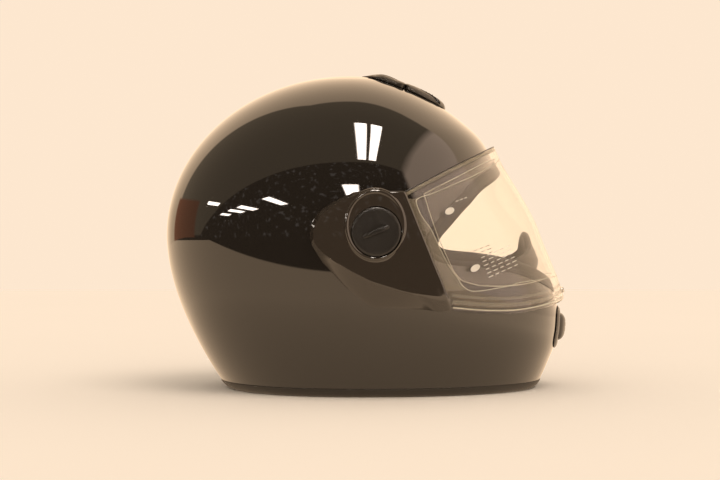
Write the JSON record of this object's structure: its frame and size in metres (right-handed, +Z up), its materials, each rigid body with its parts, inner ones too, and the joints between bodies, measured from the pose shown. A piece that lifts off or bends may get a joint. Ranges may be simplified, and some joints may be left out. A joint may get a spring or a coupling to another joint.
{
  "type": "full-face motorcycle helmet",
  "caption": "Full-face motorcycle helmet with a hinged clear visor, removable side covers, sliding and tilting vents, a foam and fabric lining and a buckled chin strap.",
  "frame": {"origin": "centre of the bounding box in plan, at the flat underside of the base trim", "axes": "+X forward, +Y to the wearer's left, +Z up"},
  "size_m": [0.3269, 0.2596, 0.2558],
  "materials": {
    "shell_gloss": "high gloss clear-coated black",
    "cover_smoked": "gloss, slightly smoked black",
    "satin_plastic": "satin moulded black",
    "black_rubber": "matt extruded rubber",
    "foam": "charcoal expanded foam",
    "lining": "black knitted lining",
    "webbing": "woven black webbing",
    "steel": "plated steel",
    "red_plastic": "moulded red release lever",
    "clear": "clear polycarbonate, hard coated"
  },
  "bodies": {
    "helmet": {"outer_shell": "shell_gloss", "impact_liner": "foam", "crown_pad": "lining", "chin_liner": "foam", "cheek_block_right": "foam", "cheek_block_left": "foam", "cheek_pad_right": "lining", "cheek_pad_left": "lining", "neck_roll": "lining", "base_trim": "black_rubber", "eye_port_seal": "black_rubber", "breath_guard": "black_rubber", "chin_vent_frame": "satin_plastic", "top_vent_housing": "shell_gloss", "top_vent_fairing": "shell_gloss", "hinge_plate_right": "satin_plastic", "hinge_plate_left": "satin_plastic", "pivot_washer_right": "steel", "pivot_washer_left": "steel", "hinge_screw_right_a": "steel", "hinge_screw_right_b": "steel", "hinge_screw_left_a": "steel", "hinge_screw_left_b": "steel", "side_cover_right": "cover_smoked", "side_cover_left": "cover_smoked", "strap_right": "webbing", "strap_left": "webbing", "strap_anchor_right": "steel", "strap_anchor_left": "steel", "buckle_body": "satin_plastic", "buckle_tongue": "steel"},
    "visor_group": {"visor": "clear", "antifog_insert": "clear", "insert_pin_right": "satin_plastic", "insert_pin_left": "satin_plastic", "visor_tab": "clear"},
    "knob_right": {"cover_knob_right": "satin_plastic"},
    "knob_left": {"cover_knob_left": "satin_plastic"},
    "chin_flap": {"chin_vent_flap": "satin_plastic"},
    "vent_slider": {"top_vent_slider": "satin_plastic"},
    "release_lever": {"buckle_lever": "red_plastic"}
  },
  "joints": [
    {"name": "visor_hinge", "type": "hinge", "parent": "helmet", "child": "visor_group", "pos_m": [-0.0037, 0, 0.134], "axis": [0, -1, 0], "range_deg": [0, 45]},
    {"name": "knob_turn_right", "type": "hinge", "parent": "helmet", "child": "knob_right", "pos_m": [0.00669, -0.12715, 0.12529], "axis": [0.0475, -0.9988, 0.0081], "range_deg": [0, 90]},
    {"name": "knob_turn_left", "type": "hinge", "parent": "helmet", "child": "knob_left", "pos_m": [0.00669, 0.12715, 0.12529], "axis": [0.0475, 0.9988, 0.0081], "range_deg": [0, 90]},
    {"name": "chin_vent_hinge", "type": "hinge", "parent": "helmet", "child": "chin_flap", "pos_m": [0.15695, 0, 0.03853], "axis": [0, 1, 0], "range_deg": [0, 12]},
    {"name": "top_vent_slide", "type": "slide", "parent": "helmet", "child": "vent_slider", "axis": [-0.8903, 0, 0.4554], "range_m": [0, 0.006]},
    {"name": "buckle_lever_hinge", "type": "hinge", "parent": "helmet", "child": "release_lever", "pos_m": [0.00494, -0.026, 0.0116], "axis": [1, 0, 0], "range_deg": [0, 35], "stiffness_Nm_per_rad": 0.02, "springref_deg": -20.05}
  ]
}
